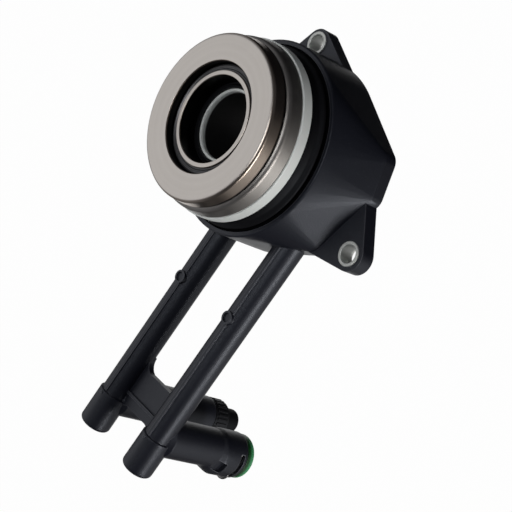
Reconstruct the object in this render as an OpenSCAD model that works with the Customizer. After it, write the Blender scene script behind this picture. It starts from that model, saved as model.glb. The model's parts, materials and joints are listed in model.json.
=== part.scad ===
// Concentric slave cylinder: a hydraulic clutch release unit around a gearbox input shaft.
// The mounting face lies in the plane z = 0, the bearing axis is Z and the thrust face looks along +Z.
// The two fluid tubes run along -Y and their ports point along -Z. Millimetres.

/* [Travel] */
// Travel of the piston from rest towards the mounting face
travel_back = 6.5; // [4:0.5:8]
// Length of the pressure chamber bore
chamber_depth = 15.8; // [15.5:0.1:19]

/* [Release bearing] */
// Diameter of the circle through the ball centres
ball_pitch_d = 46.8; // [44:0.2:50]
// Ball diameter
ball_d = 6; // [5:0.1:6.5]
// Number of balls
ball_count = 18; // [12:1:20]
// Steel left between a ball groove and the outside of its ring
race_floor = 2.35; // [1.8:0.05:3]
// Height from the ball centres to the flat land beside each groove
land_rise = 1.7; // [1.5:0.05:2.2]
// Height of the cage band
cage_h = 2.2; // [1.6:0.1:2.4]
// Cage wall outside and inside the ball pockets
cage_wall = 0.8; // [0.6:0.05:1.2]
// Diameter of the hole in the thrust face
face_hole_d = 39; // [37.4:0.2:40]
// Height of the outside wall of the thrust ring
thrust_ring_h = 5.2; // [4.6:0.1:5.3]
// Wall of the thrust ring's skirt
skirt_wall = 2.1; // [1.6:0.1:2.6]
// How far the thrust ring's side leans in towards its face
skirt_lean = 0.5; // [0.1:0.1:1]
// Radius of the rounded outer edge of the thrust face
face_edge_r = 1.3; // [0.5:0.1:1.4]
// Bore of the stationary race's tube
race_tube_bore_d = 30.4; // [30:0.1:31]
// Wall of the stationary race's tube
race_tube_wall = 1.7; // [1.2:0.1:1.8]
// Depth of that tube's end behind the thrust face
race_tube_recess = 2.2; // [1.8:0.1:3]

/* [Bearing carrier] */
// Sheet thickness of the bearing cover
cover_sheet = 1; // [0.8:0.05:1.3]
// Radius of the cover's rounded shoulder
cover_shoulder_r = 2; // [1.4:0.1:2.4]
// Step from the thrust ring's outside to the cover wall
cover_step = 0.9; // [0.6:0.1:2]
// Flare of the cover wall towards its floor
cover_flare = 0.7; // [0.2:0.1:1.5]
// Sheet thickness of the spring seat
seat_sheet = 1; // [0.8:0.05:1.3]
// Height of the spring seat's outer band
seat_band_h = 4.2; // [3:0.1:5]
// Overhang of that band past the cover wall
seat_overhang = 0.5; // [0.2:0.1:1]

/* [Piston and sleeve] */
// Bore of the guide sleeve
sleeve_bore_d = 23.6; // [22.6:0.1:24]
// Wall of the guide sleeve
sleeve_wall = 1; // [0.8:0.05:1.2]
// Height of the sleeve's front end above the mounting face
sleeve_end_z = 35.6; // [34:0.1:38]
// Bore of the pressure chamber
chamber_bore_d = 40; // [39:0.2:41]
// Wall around the pressure chamber
chamber_wall = 3.5; // [2.8:0.1:3.8]
// Length of the piston body
piston_len = 12.4; // [11.5:0.1:14]
// Length of the piston's nose in front of its body
piston_nose_len = 1.3; // [1:0.1:2]
// Length of the wiper seal in front of the nose
wiper_len = 2; // [1.4:0.1:2.4]
// Height of the piston seal
piston_seal_h = 2.8; // [2:0.1:3]
// Height of the centring spring washer
centring_h = 1; // [0.8:0.1:1.4]
// Sheet thickness of that washer
centring_sheet = 0.5; // [0.4:0.05:0.6]

/* [Body] */
// Height of the body's rim above the mounting face
rim_z = 22.2; // [21.5:0.1:24.5]
// Wall of the rim
rim_wall = 1.7; // [1.4:0.1:3]
// Gap between the spring seat and the inside of the rim
rim_gap = 1.5; // [1.2:0.1:2.5]
// Growth of the body's radius from its rim to its base
body_draft = 0.2; // [0.1:0.1:2]
// Distance of the cornered flank from the axis
corner_reach = 45.2; // [42:0.2:47]
// Radius of the flank's corners
corner_r = 5; // [3:0.5:7]
// Direction of the upper corner, degrees from +X
corner_top_angle = 28; // [22:1:32]
// Direction of the lower corner, degrees from +X
corner_low_angle = 12; // [8:1:16]
// Direction of the third corner beside the feed tube, degrees from +X
corner_foot_angle = -23; // [-26:1:-18]
// How much nearer the axis that third corner lies
corner_foot_inset = 3.6; // [2:0.2:5]
// Height of the corners' straight wall
corner_h = 5; // [3:0.5:8]
// Height of the floor under the preload spring
spring_floor_z = 9; // [8.6:0.1:10]
// Height of the shoulder that carries the boot
boot_shelf_z = 16; // [14:0.5:17]

/* [Mounting ears] */
// Thickness of the ears
ear_t = 5.6; // [4:0.1:7]
// Wall of the upper ear around its bush
upper_ear_wall = 1.1; // [0.8:0.1:3]
// Wall of the lower ear around its bush
lower_ear_wall = 1.6; // [1:0.1:3]
// Distance of the upper bolt from the axis
upper_bolt_reach = 39.4; // [39:0.1:44]
// Direction of the upper bolt, degrees from +X
upper_bolt_angle = 116.2; // [110:0.1:122]
// Distance of the lower bolt from the axis
lower_bolt_reach = 51.4; // [49:0.1:54]
// Direction of the lower bolt, degrees from +X
lower_bolt_angle = -10.6; // [-13:0.1:-8]
// Bolt hole through the steel bushes
bolt_hole_d = 6.2; // [5.5:0.1:6.6]
// Wall of the bushes
bush_wall = 1.2; // [0.8:0.05:1.5]
// How far a bush stands proud of its ear
bush_proud = 0.5; // [0.1:0.1:0.8]

/* [Tubes] */
// Outside diameter of the tubes
tube_d = 10.4; // [9.6:0.1:11.4]
// Bore of the tubes
tube_bore_d = 4.4; // [3.6:0.1:4.6]
// Clearance between the tubes' backs and the mounting face
tube_back_gap = 0.3; // [0.2:0.1:1]
// Position of the bleed tube across the body
bleed_tube_x = -2.6; // [-5:0.1:-1]
// Position of the feed tube across the body
feed_tube_x = 27.5; // [25:0.1:29]
// Distance of the feed tube's closed end from the axis
tube_reach = 121.7; // [120:0.1:126]
// How much further the bleed tube and all that is on it lie
bleed_offset = 3.8; // [1:0.1:5]
// Length of the thicker end section of each tube
end_len = 15.2; // [13:0.1:17]
// How far the end sections stand proud of the tubes
seam_step = 0.8; // [0.3:0.05:1.2]
// Distance of the feed tube's locating pad from the axis
pad_reach = 54.6; // [50:0.5:64]
// Diameter of the locating pads
pad_d = 4.8; // [3.5:0.1:6]
// How far the pads stand proud of the tubes
pad_h = 1; // [0.5:0.1:2]
// Width of the rib along the front of each tube
tube_rib_w = 1.3; // [1:0.1:3]
// How far that rib stands proud of the tube
tube_rib_h = 0.35; // [0.2:0.05:0.8]
// Distance of the web's upper edge from the axis, halfway between the tubes
web_top_reach = 93.8; // [86:0.2:95]
// Distance of the web's lower edge from the axis, halfway between the tubes
web_low_reach = 109.2; // [105:0.2:110]
// Thickness of the web
web_t = 2.5; // [2:0.5:5]
// Height of the web's back above the mounting face
web_z = 2.3; // [0.5:0.1:3]
// Radius of the web's upper corners
web_top_r = 4.5; // [2:0.5:7]
// Radius of the web's lower corners
web_low_r = 5; // [2:0.5:6]

/* [Feed port] */
// Distance of the feed port from the axis
feed_port_reach = 107.2; // [104:0.2:110]
// Diameter of the collar at the end of the feed port
feed_port_d = 17.4; // [16.6:0.1:18.4]
// Length of that collar
feed_collar_len = 10; // [9:0.5:11]
// Diameter of the port's barrel
feed_barrel_d = 14.6; // [13.8:0.1:15]
// Length of the feed port behind the mounting face
feed_port_len = 33.5; // [32:0.5:40]
// Socket of the feed port
feed_socket_d = 12; // [11:0.1:12.4]
// Depth of that socket
feed_socket_len = 12; // [11:0.5:12.5]
// Wire of the retaining clip
clip_wire_d = 1.5; // [1.2:0.1:1.8]
// Distance of the clip from the port's end
clip_inset = 2.8; // [2.5:0.1:3.5]
// Thickness of the transit plug's head
plug_head_t = 3.9; // [2:0.1:5]

/* [Bleed port] */
// Outside diameter of the bleed port
bleed_port_d = 15.2; // [13:0.1:16]
// Length of the bleed port behind the mounting face
bleed_port_len = 41.5; // [36:0.5:44]
// Thread diameter of the bleed screw
bleed_thread_d = 8; // [7:0.1:8.4]
// Engaged length of that thread
bleed_thread_len = 15; // [12:0.5:17]
// Diameter of the screw's ribbed collar
bleed_collar_d = 15; // [12.6:0.1:16]
// Length of the ribbed collar
bleed_collar_len = 7; // [6:0.5:11]
// Ribs round the collar
bleed_rib_count = 26; // [12:1:30]
// Outside diameter of the bleed cap
bleed_cap_d = 9.8; // [9:0.1:10.6]
// Length of the bleed cap
bleed_cap_len = 8.5; // [6:0.5:10]

/* [Seals and springs] */
// Height of the input shaft seal
shaft_seal_h = 5.6; // [5:0.1:6.5]
// Pocket of the input shaft seal
shaft_seal_d = 34; // [33:0.2:34.4]
// Shaft diameter that the seal's lip is made for
shaft_d = 22; // [21:0.1:22.4]
// Thickness of the sleeve's flange
sleeve_flange_t = 1.2; // [1:0.1:1.6]
// Cord of the sleeve's O-ring
sleeve_ring_cord = 2.1; // [1.8:0.05:2.2]
// Cord of the mounting face's O-ring
mount_ring_cord = 2.4; // [2:0.1:2.6]
// Diameter of that O-ring, through its cord
mount_ring_d = 44.6; // [42:0.2:50]
// How far it stands out of the mounting face
mount_ring_proud = 0.4; // [0.2:0.05:0.6]
// Wire of the preload spring
spring_wire_d = 3; // [2:0.1:3.2]
// Turns of the preload spring
spring_turns = 4; // [3:0.5:4.5]
// Wall of the boot
boot_wall = 1.1; // [0.8:0.05:1.3]
// Number of folds in the boot
boot_folds = 2; // [1:1:3]

/* [Hidden] */
$fn = 64;
hull_fn = 96;
eps = 0.01;

// Clearances
running_gap = 0.05;
rest_gap = 0.3;
race_gap = 0.05;
pocket_gap = 0.1;
ring_gap = 0.05;
wall_gap = 0.05;
over = 1;

// Sleeve, chamber and piston
sleeve_r = sleeve_bore_d / 2 + sleeve_wall;
chamber_r = chamber_bore_d / 2;
chamber_out_r = chamber_r + chamber_wall;
pocket_r = shaft_seal_d / 2;
pocket_inset = 0.4;
lip_press = 0.1;
lip_w = 2.1;
garter_wire_d = 1.2;
pocket_depth = pocket_inset + shaft_seal_h + sleeve_flange_t;
gland_r = sleeve_r + sleeve_ring_cord + 2 * ring_gap;
gland_h = sleeve_ring_cord + 2 * ring_gap;
gland_lip = 0.8;
chamber_floor_z = pocket_depth + gland_h + gland_lip;
chamber_top_z = chamber_floor_z + chamber_depth;
piston_bore_r = sleeve_r + running_gap;
piston_r = chamber_r - running_gap;
piston_seal_z = chamber_floor_z + travel_back + rest_gap;
piston_z = piston_seal_z + piston_seal_h;
piston_top_z = piston_z + piston_len;
cover_z = piston_top_z + centring_h;
race_z = cover_z + cover_sheet;
wiper_z = cover_z + piston_nose_len;
wiper_top_z = wiper_z + wiper_len;
nose_gap = 0.1;
piston_groove_depth = 3.5;
nose_r = race_tube_bore_d / 2 - nose_gap;
sleeve_lead = 0.6;
sleeve_lead_rise = 0.25;

// Bearing rings, from the stationary race up to the thrust face
ball_r = ball_d / 2;
pitch_r = ball_pitch_d / 2;
groove_r = ball_r + race_gap;
ball_z = race_z + race_floor + groove_r;
face_z = ball_z + groove_r + race_floor;
thrust_land_z = ball_z + land_rise;
race_land_z = ball_z - land_rise;
ball_pocket_r = ball_r + pocket_gap;
cage_out_r = pitch_r + ball_pocket_r + cage_wall;
cage_in_r = pitch_r - ball_pocket_r - cage_wall;
skirt_in_r = cage_out_r + rest_gap;
thrust_r = skirt_in_r + skirt_wall;
skirt_z = face_z - thrust_ring_h;
face_hole_r = face_hole_d / 2;
race_edge = 0.7;
race_out_r = pitch_r + groove_r * cos(asin(land_rise / groove_r)) + race_edge;
race_tube_r = race_tube_bore_d / 2 + race_tube_wall;
race_tube_top_z = face_z - race_tube_recess;
inner_seal_h = 1.2;
inner_seal_z = ball_z + cage_h / 2 + rest_gap;

// Cover, spring seat and rim, each one outside the last
cover_gap = 0.5;
cover_top_z = skirt_z - cover_gap;
cover_wall_r = thrust_r + cover_step;
cover_foot_r = cover_wall_r + cover_flare;
cover_lip_r = cage_out_r + cover_gap;
seat_r = cover_foot_r + seat_overhang;
seat_low_z = cover_z - seat_band_h;
seat_bore_r = chamber_out_r + 0.7;
recess_r = seat_r + rim_gap;
rim_r = recess_r + rim_wall;
base_r = rim_r + body_draft;
rim_edge = 0.5;

// Spring and boot
spring_low_z = spring_floor_z + wall_gap;
spring_high_z = cover_z - seat_sheet - wall_gap;
boot_seat_r = seat_r - seat_sheet - rest_gap;
spring_r = boot_seat_r - boot_wall - 2 * rest_gap + 0.2 - spring_wire_d / 2;
spring_steps = 22;
spring_sides = 8;
shelf_r = boot_seat_r + 0.1;
boot_foot_h = 1.5;
boot_fold_r = recess_r - rest_gap - 0.4;
boot_valley_r = boot_seat_r + 0.7;
boot_fold_low_z = boot_shelf_z + boot_foot_h;
boot_top_gap = 3.4;
boot_fold_high_z = seat_low_z - boot_top_gap;
boot_neck_h = 1.4;
boot_fold_points = 8;

// Ears
upper_bolt = upper_bolt_reach * [cos(upper_bolt_angle), sin(upper_bolt_angle)];
lower_bolt = lower_bolt_reach * [cos(lower_bolt_angle), sin(lower_bolt_angle)];
bush_r = bolt_hole_d / 2 + bush_wall;
upper_ear_r = bush_r + upper_ear_wall;
lower_ear_r = bush_r + lower_ear_wall;
ear_root_r = 3;
ear_root_reach = base_r - ear_root_r;
flank_root_reach = corner_reach - ear_root_r;
neck_root_reach = base_r + ear_root_r / 6;
upper_root_spread = [-24.2, 33.8];
lower_root_spread = [16.6, -17.9];

// Tubes, web and ports
tube_r = tube_d / 2;
tube_bore_r = tube_bore_d / 2;
tube_z = tube_r + tube_back_gap;
tube_end_r = 1.6;
seam_groove = 0.3;
tube_rib_shift = 0.6;
pad_lip = 0.7;
pad_dimple = 0.6;
pip_r = 0.6;
pip_h = 0.3;
pip_inset = 1.2;
tube_span = feed_tube_x - bleed_tube_x;
tube_mid_x = (feed_tube_x + bleed_tube_x) / 2;
web_rib_w = 1.2;
web_rib_h = 0.8;
web_rib_inset = 3.9;
web_rib_reach = web_low_reach - web_rib_inset;
web_slope = bleed_offset / tube_span;
web_sink = 0.3;
corner_sink = 0.1;
web_front_drop = tube_z - web_z - web_t;
web_half = tube_span / 2 - sqrt(tube_r * tube_r - web_front_drop * web_front_drop) + web_sink;
web_far = tube_span / 2 - tube_bore_r / 2;
gallery_r = 1.2;
drilling_r = 1;
gallery_reach = pocket_r + gallery_r + 0.4;
feed_gallery_y = -10;
tube_plug_len = 6;
port_edge_r = 1;
port_root_drop = 2.4;

feed_port_r = feed_port_d / 2;
feed_barrel_r = feed_barrel_d / 2;
collar_step = 0.3;
feed_barrel_lift = feed_port_r - feed_barrel_r - collar_step;
feed_gusset_len = 7;
gusset_pocket_angle = -12;
gusset_pocket_w = 4.8;
gusset_pocket_len = 7;
gusset_pocket_wall = 1;
feed_socket_r = feed_socket_d / 2;
feed_throat_r = feed_socket_r - 1.6;
feed_throat_len = 5;
line_seal_cord = feed_socket_r - feed_throat_r - 2 * ring_gap;
clip_z = -feed_port_len + clip_inset;
clip_r = clip_wire_d / 2;
clip_x = feed_socket_r;
clip_top = 4.6;
clip_corner_r = 2.9;
clip_bar = feed_port_r - clip_r + 0.1;
clip_corner_x = clip_x - clip_corner_r;
clip_corner_y = clip_corner_r - clip_bar;
clip_notch_rise = clip_corner_r * 2 / 3;
clip_slot_gap = 0.25;
plug_r = feed_socket_r - 0.2;
plug_groove_r = clip_x - clip_r - clip_slot_gap;
plug_head_r = feed_port_r - 0.4;
plug_edge_r = 1.5;
plug_tip_gap = 2.6;

bleed_port_r = bleed_port_d / 2;
bleed_port_reach = feed_port_reach + bleed_offset;
bleed_thread_r = bleed_thread_d / 2;
bleed_shank_r = bleed_thread_r - running_gap;
bleed_seat_z = -bleed_port_len + bleed_thread_len;
bleed_tip_len = 2;
bleed_seal_cord = 1.1;
bleed_seal_pocket_r = bleed_thread_r + bleed_seal_cord + 2 * ring_gap;
bleed_seal_pocket_h = bleed_seal_cord + 2 * ring_gap;
bleed_collar_r = bleed_collar_d / 2;
bleed_collar_z = -bleed_port_len - rest_gap;
bleed_nipple_r = 3.4;
bleed_rib_h = 0.45;
bleed_rib_w = 0.8;
bleed_bore_r = 1.2;
bleed_bore_end = 3;
bleed_cap_r = bleed_cap_d / 2;
bleed_cap_edge_r = 1.6;
bleed_cap_top = 1.6;

black_plastic = "#16171b";
black_rubber = "#0c0c0e";
bright_steel = "#b9b4ac";
grey_steel = "#8d8a86";
zinc = "#c4ccc9";
plug_green = "#2f8f45";

// Points along an arc, from one angle to the other
function arc(centre, radius, from, to, steps = 6) =
    [for (i = [0:steps]) centre
        + radius * [cos(from + (to - from) * i / steps), sin(from + (to - from) * i / steps)]];

// A ring of a rectangular section
module ring(inner, outer, low, high) {
    rotate_extrude($fn = 128)
        translate([inner, low]) square([outer - inner, high - low]);
}

// A ring of a round section
module cord_ring(radius, cord, height) {
    translate([0, 0, height])
        rotate_extrude($fn = 96) translate([radius, 0]) circle(d = cord, $fn = 32);
}

// A round bar along Z between two heights
module bar(radius, low, high) {
    translate([0, 0, low]) cylinder(r = radius, h = high - low);
}

// Turns a shape made along +Z so that it runs from a tube's place along -Y
module along_tube(x) {
    translate([x, 0, tube_z]) rotate([90, 0, 0]) children();
}

// Bodies of the moulded housing

module body_shell() {
    hull() {
        translate([0, 0, rim_z - rim_edge])
            cylinder(r1 = rim_r, r2 = rim_r - rim_edge, h = rim_edge, $fn = hull_fn);
        cylinder(r = base_r, h = corner_h / 2, $fn = hull_fn);
        for (corner = [[0, corner_top_angle], [0, corner_low_angle], [corner_foot_inset, corner_foot_angle]])
            rotate([0, 0, corner[1]]) translate([corner_reach - corner[0] - corner_r, 0, 0])
                cylinder(r = corner_r, h = corner_h, $fn = 48);
    }
}

// An ear plate, drawn from its bolt to roots given by their reach and direction
module ear(bolt, radius, roots) {
    hull() {
        translate(bolt) cylinder(r = radius, h = ear_t, $fn = 48);
        for (root = roots)
            rotate([0, 0, root[1]]) translate([root[0], 0, 0]) cylinder(r = ear_root_r, h = ear_t, $fn = 32);
    }
}

// Distance along a tube at which it leaves the round body
function tube_start(x) = sqrt(base_r * base_r - x * x);

// A tube with its front rib and pad, its thicker end section and the pip beside the seam
module tube(x, offset) {
    end_r = tube_r + seam_step;
    reach = tube_reach + offset;
    seam = reach - end_len;
    start = tube_start(x) - tube_r;
    along_tube(x) {
        bar(tube_r, start, seam + over);
        translate([tube_rib_shift - tube_rib_w / 2, 0, start])
            cube([tube_rib_w, tube_r + tube_rib_h, seam - start - seam_groove]);
        translate([0, 2 * seam_groove - seam_step, 0]) rotate_extrude($fn = 64) polygon(concat(
            [[0, seam], [end_r - seam_groove, seam], [end_r, seam + seam_groove]],
            arc([end_r - tube_end_r, reach - tube_end_r], tube_end_r, 0, 90),
            [[0, reach]]));
    }
    translate([x, -pad_reach - offset, tube_z]) cylinder(d = pad_d, h = tube_r + pad_h, $fn = 32);
    translate([x, -seam - pip_inset, tube_z]) bar(pip_r, 0, tube_r + 2 * seam_groove + pip_h);
}

// Height of one of the web's slanting edges at a place across the tubes
function web_edge(reach, x) = web_slope * (x - tube_mid_x) - reach;

// The rounded corner between a tube and an edge of the web; rise is 1 above the web and -1 below it
module web_corner(side, reach, rise, radius) {
    wall = tube_mid_x + side * web_half;
    far = tube_mid_x + side * web_far;
    slant = sqrt(1 + web_slope * web_slope);
    x = wall - side * radius;
    y = web_edge(reach, x) + rise * (radius - corner_sink) * slant;
    difference() {
        polygon([[far, web_edge(reach, far) - rise * over], [far, y], [x, y],
                 [x, web_edge(reach, x) - rise * over]]);
        translate([x, y]) circle(r = radius);
    }
}

// The slanting plate between the tubes with a rib across it
module web() {
    ends = [tube_mid_x - web_far, tube_mid_x + web_far];
    translate([0, 0, web_z]) linear_extrude(web_t) {
        polygon([[ends[0], web_edge(web_low_reach, ends[0])], [ends[1], web_edge(web_low_reach, ends[1])],
                 [ends[1], web_edge(web_top_reach, ends[1])], [ends[0], web_edge(web_top_reach, ends[0])]]);
        for (side = [-1, 1]) {
            web_corner(side, web_top_reach, 1, web_top_r);
            web_corner(side, web_low_reach, -1, web_low_r);
        }
    }
    translate([0, 0, web_z + web_t / 2]) linear_extrude(web_t / 2 + web_rib_h) polygon([
        [ends[0], web_edge(web_rib_reach, ends[0])], [ends[1], web_edge(web_rib_reach, ends[1])],
        [ends[1], web_edge(web_rib_reach, ends[1]) + web_rib_w],
        [ends[0], web_edge(web_rib_reach, ends[0]) + web_rib_w]]);
}

// A round port along -Z with a rounded end edge and a sloping root
module port(radius, length) {
    rotate_extrude($fn = 96) polygon(concat(
        [[0, tube_z], [radius - port_root_drop, tube_z], [radius, tube_z - port_root_drop]],
        arc([radius - port_edge_r, port_edge_r - length], port_edge_r, 0, -90),
        [[0, -length]]));
}

// Barrel of the feed port and the larger collar at its end, with a gusset below the barrel
module feed_port() {
    collar_z = feed_collar_len - feed_port_len;
    gusset_r = feed_barrel_r - feed_barrel_lift - collar_step;
    translate([feed_tube_x, -feed_port_reach, 0]) {
        translate([0, feed_barrel_lift, 0]) port(feed_barrel_r, feed_port_len - feed_collar_len + over);
        rotate_extrude($fn = 96) polygon(concat(
            [[0, collar_z + feed_gusset_len], [gusset_r, collar_z + feed_gusset_len], [feed_port_r, collar_z]],
            arc([feed_port_r - port_edge_r, port_edge_r - feed_port_len], port_edge_r, 0, -90),
            [[0, -feed_port_len]]));
    }
}

module bleed_port() {
    translate([bleed_tube_x, -bleed_port_reach, 0]) port(bleed_port_r, bleed_port_len);
}

// Hollows of the moulded housing

// Chamber, boot recess, sleeve bore, seal pockets and the groove of the mounting face's O-ring
module body_hollows() {
    ring(sleeve_r - over, chamber_r, chamber_floor_z, chamber_top_z + over);
    bar(sleeve_r + running_gap, -over, chamber_top_z);
    bar(pocket_r, -over, pocket_depth);
    bar(gland_r, -over, pocket_depth + gland_h);
    ring(chamber_out_r, shelf_r, spring_floor_z, rim_z + over);
    ring(shelf_r - over, recess_r, boot_shelf_z, rim_z + over);
    ring((mount_ring_d - mount_ring_cord) / 2 - ring_gap, (mount_ring_d + mount_ring_cord) / 2 + ring_gap,
         -over, mount_ring_cord - mount_ring_proud + ring_gap);
}

// The dimple in the top of a tube's pad
module pad_hollow(x, offset) {
    translate([x, -pad_reach - offset, tube_z + tube_r + pad_h - pad_dimple])
        cylinder(d = pad_d - 2 * pad_lip, h = pad_dimple + over, $fn = 32);
}

// A drilling up into the chamber's floor
module chamber_drilling(x, y) {
    translate([x, y, 0]) bar(drilling_r, tube_z, chamber_floor_z + over);
}

// Fluid passages from the ports along the tubes to the chamber
module passages() {
    bleed_y = -sqrt(gallery_reach * gallery_reach - bleed_tube_x * bleed_tube_x);
    feed_x = sqrt(gallery_reach * gallery_reach - feed_gallery_y * feed_gallery_y);
    along_tube(bleed_tube_x) bar(tube_bore_r, -bleed_y - gallery_r / 2, tube_reach + bleed_offset + over);
    along_tube(feed_tube_x) bar(tube_bore_r, -feed_gallery_y - 2 * gallery_r, tube_reach + over);
    translate([feed_x - gallery_r / 2, feed_gallery_y, tube_z]) rotate([0, 90, 0])
        cylinder(r = gallery_r, h = feed_tube_x - feed_x + gallery_r / 2);
    chamber_drilling(bleed_tube_x, bleed_y);
    chamber_drilling(feed_x, feed_gallery_y);
}

// Socket of the feed port, its throat for the line seal and the windows of the clip
module feed_socket() {
    slot_h = clip_wire_d + 2 * clip_slot_gap;
    slot_in = clip_x - clip_r - 2 * clip_slot_gap;
    slot_z = clip_z - slot_h / 2;
    translate([feed_tube_x, -feed_port_reach, 0]) {
        bar(feed_socket_r, -feed_port_len - over, feed_socket_len - feed_port_len);
        bar(feed_throat_r, -feed_port_len, feed_socket_len + feed_throat_len - feed_port_len);
        bar(tube_bore_r, -feed_port_len, tube_z);
        for (side = [0, 1]) mirror([side, 0, 0]) {
            translate([slot_in, -feed_port_r, slot_z])
                cube([feed_port_r, feed_port_r + clip_top + rest_gap, slot_h]);
            translate([clip_corner_x, -feed_port_r - over, slot_z])
                cube([slot_in + eps - clip_corner_x, feed_port_r + over - clip_bar + clip_notch_rise, slot_h]);
        }
        translate([-slot_in - eps, -feed_port_r - over, slot_z])
            cube([2 * (slot_in + eps), feed_port_r + over - clip_bar + clip_r + clip_slot_gap, slot_h]);
    }
}

// The pocket in the gusset's right side, where the gusset runs into the collar
module gusset_pocket() {
    low = feed_collar_len - feed_port_len - over;
    translate([feed_tube_x, -feed_port_reach, low]) rotate([0, 0, gusset_pocket_angle])
        translate([feed_socket_r + gusset_pocket_wall, -gusset_pocket_w / 2, 0])
            cube([feed_port_r, gusset_pocket_w, gusset_pocket_len]);
}

// Threaded hole of the bleed port, its seal pocket and its seat
module bleed_hole() {
    translate([bleed_tube_x, -bleed_port_reach, 0]) {
        bar(bleed_thread_r, -bleed_port_len - over, bleed_seat_z);
        bar(bleed_seal_pocket_r, -bleed_port_len - over, bleed_seal_pocket_h - bleed_port_len);
        bar(tube_bore_r, -bleed_port_len, tube_z);
        translate([0, 0, bleed_seat_z - eps])
            cylinder(r1 = bleed_thread_r, r2 = tube_bore_r, h = bleed_tip_len + 2 * eps);
    }
}

module housing() {
    color(black_plastic) difference() {
        union() {
            body_shell();
            ring(sleeve_r + running_gap, chamber_out_r, chamber_floor_z, chamber_top_z);
            ear(upper_bolt, upper_ear_r,
                [for (spread = upper_root_spread) [ear_root_reach, upper_bolt_angle + spread]]);
            ear(lower_bolt, lower_ear_r,
                [[flank_root_reach, lower_bolt_angle + lower_root_spread[0]],
                 [neck_root_reach, lower_bolt_angle + lower_root_spread[1]]]);
            tube(feed_tube_x, 0);
            tube(bleed_tube_x, bleed_offset);
            web();
            feed_port();
            bleed_port();
        }
        body_hollows();
        passages();
        feed_socket();
        bleed_hole();
        gusset_pocket();
        pad_hollow(feed_tube_x, 0);
        pad_hollow(bleed_tube_x, bleed_offset);
        for (bolt = [upper_bolt, lower_bolt])
            translate(bolt) bar(bush_r, -over, ear_t + rim_z);
    }
}

// Pieces that stay with the housing

module guide_sleeve() {
    bore = sleeve_bore_d / 2;
    flange_z = pocket_inset + shaft_seal_h;
    color(zinc) rotate_extrude($fn = 128) polygon([
        [bore, flange_z], [pocket_r - running_gap, flange_z],
        [pocket_r - running_gap, flange_z + sleeve_flange_t],
        [sleeve_r, flange_z + sleeve_flange_t], [sleeve_r, sleeve_end_z - sleeve_lead_rise / 2],
        [sleeve_r - sleeve_lead_rise / 4, sleeve_end_z], [bore + sleeve_lead_rise, sleeve_end_z],
        [bore, sleeve_end_z - sleeve_lead]]);
}

module sleeve_o_ring() {
    color(black_rubber)
        cord_ring(sleeve_r + ring_gap + sleeve_ring_cord / 2, sleeve_ring_cord, pocket_depth + gland_h / 2);
}

module input_shaft_seal() {
    lip_r = shaft_d / 2 - lip_press;
    low = pocket_inset;
    high = pocket_inset + shaft_seal_h;
    web_h = 1.4;
    band = 2.3;
    color(black_rubber) rotate_extrude($fn = 96) polygon([
        [lip_r + lip_w / 2, low], [pocket_r, low], [pocket_r, high], [pocket_r - band, high],
        [pocket_r - band, low + web_h], [lip_r + lip_w, low + web_h], [lip_r + lip_w, high - 0.5],
        [lip_r + lip_w / 2, high - 0.5], [lip_r, low + shaft_seal_h / 2]]);
}

module shaft_seal_spring() {
    color(grey_steel)
        cord_ring(shaft_d / 2 - lip_press + lip_w + garter_wire_d / 2 + ring_gap, garter_wire_d,
                  pocket_inset + 0.7 * shaft_seal_h);
}

module mounting_o_ring() {
    color(black_rubber) cord_ring(mount_ring_d / 2, mount_ring_cord, mount_ring_cord / 2 - mount_ring_proud);
}

module ear_bush(bolt) {
    color(grey_steel) translate(bolt) difference() {
        bar(bush_r, 0, ear_t + bush_proud);
        bar(bolt_hole_d / 2, -over, ear_t + bush_proud + over);
    }
}

module upper_ear_bush() ear_bush(upper_bolt);

module lower_ear_bush() ear_bush(lower_bolt);

module tube_plug(x, reach) {
    color(grey_steel) along_tube(x) bar(tube_bore_r, reach - tube_plug_len, reach - seam_groove);
}

module feed_tube_plug() tube_plug(feed_tube_x, tube_reach);

module bleed_tube_plug() tube_plug(bleed_tube_x, tube_reach + bleed_offset);

module feed_line_seal() {
    color(black_rubber) translate([feed_tube_x, -feed_port_reach, 0])
        cord_ring(feed_socket_r - line_seal_cord / 2 - ring_gap, line_seal_cord,
                  feed_socket_len - feed_port_len - line_seal_cord / 2 - ring_gap);
}

// Wire clip: two legs through the windows, joined by a bar under the port
module feed_line_clip() {
    color(bright_steel) translate([feed_tube_x, -feed_port_reach, clip_z]) {
        for (side = [0, 1]) mirror([side, 0, 0]) {
            translate([clip_x, clip_corner_y, 0]) rotate([-90, 0, 0])
                cylinder(r = clip_r, h = clip_top - clip_corner_y, $fn = 24);
            translate([clip_corner_x, clip_corner_y, 0]) rotate([0, 0, -90])
                rotate_extrude(angle = 90) translate([clip_corner_r, 0]) circle(r = clip_r, $fn = 24);
        }
        translate([-clip_corner_x, -clip_bar, 0]) rotate([0, 90, 0])
            cylinder(r = clip_r, h = 2 * clip_corner_x, $fn = 24);
    }
}

module feed_port_plug() {
    low = -feed_port_len - plug_head_t;
    tip = feed_socket_len - feed_port_len - line_seal_cord - plug_tip_gap;
    groove = clip_r + clip_slot_gap;
    color(plug_green) translate([feed_tube_x, -feed_port_reach, 0]) rotate_extrude($fn = 96) polygon(concat(
        [[0, low]],
        arc([plug_head_r - plug_edge_r, low + plug_edge_r], plug_edge_r, -90, 0),
        [[plug_head_r, -feed_port_len], [plug_r, -feed_port_len], [plug_r, clip_z - groove],
         [plug_groove_r, clip_z - groove], [plug_groove_r, clip_z + groove], [plug_r, clip_z + groove],
         [plug_r, tip - 1], [plug_r - 1, tip], [0, tip]]));
}

// Bleed screw and what rides on it

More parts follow.
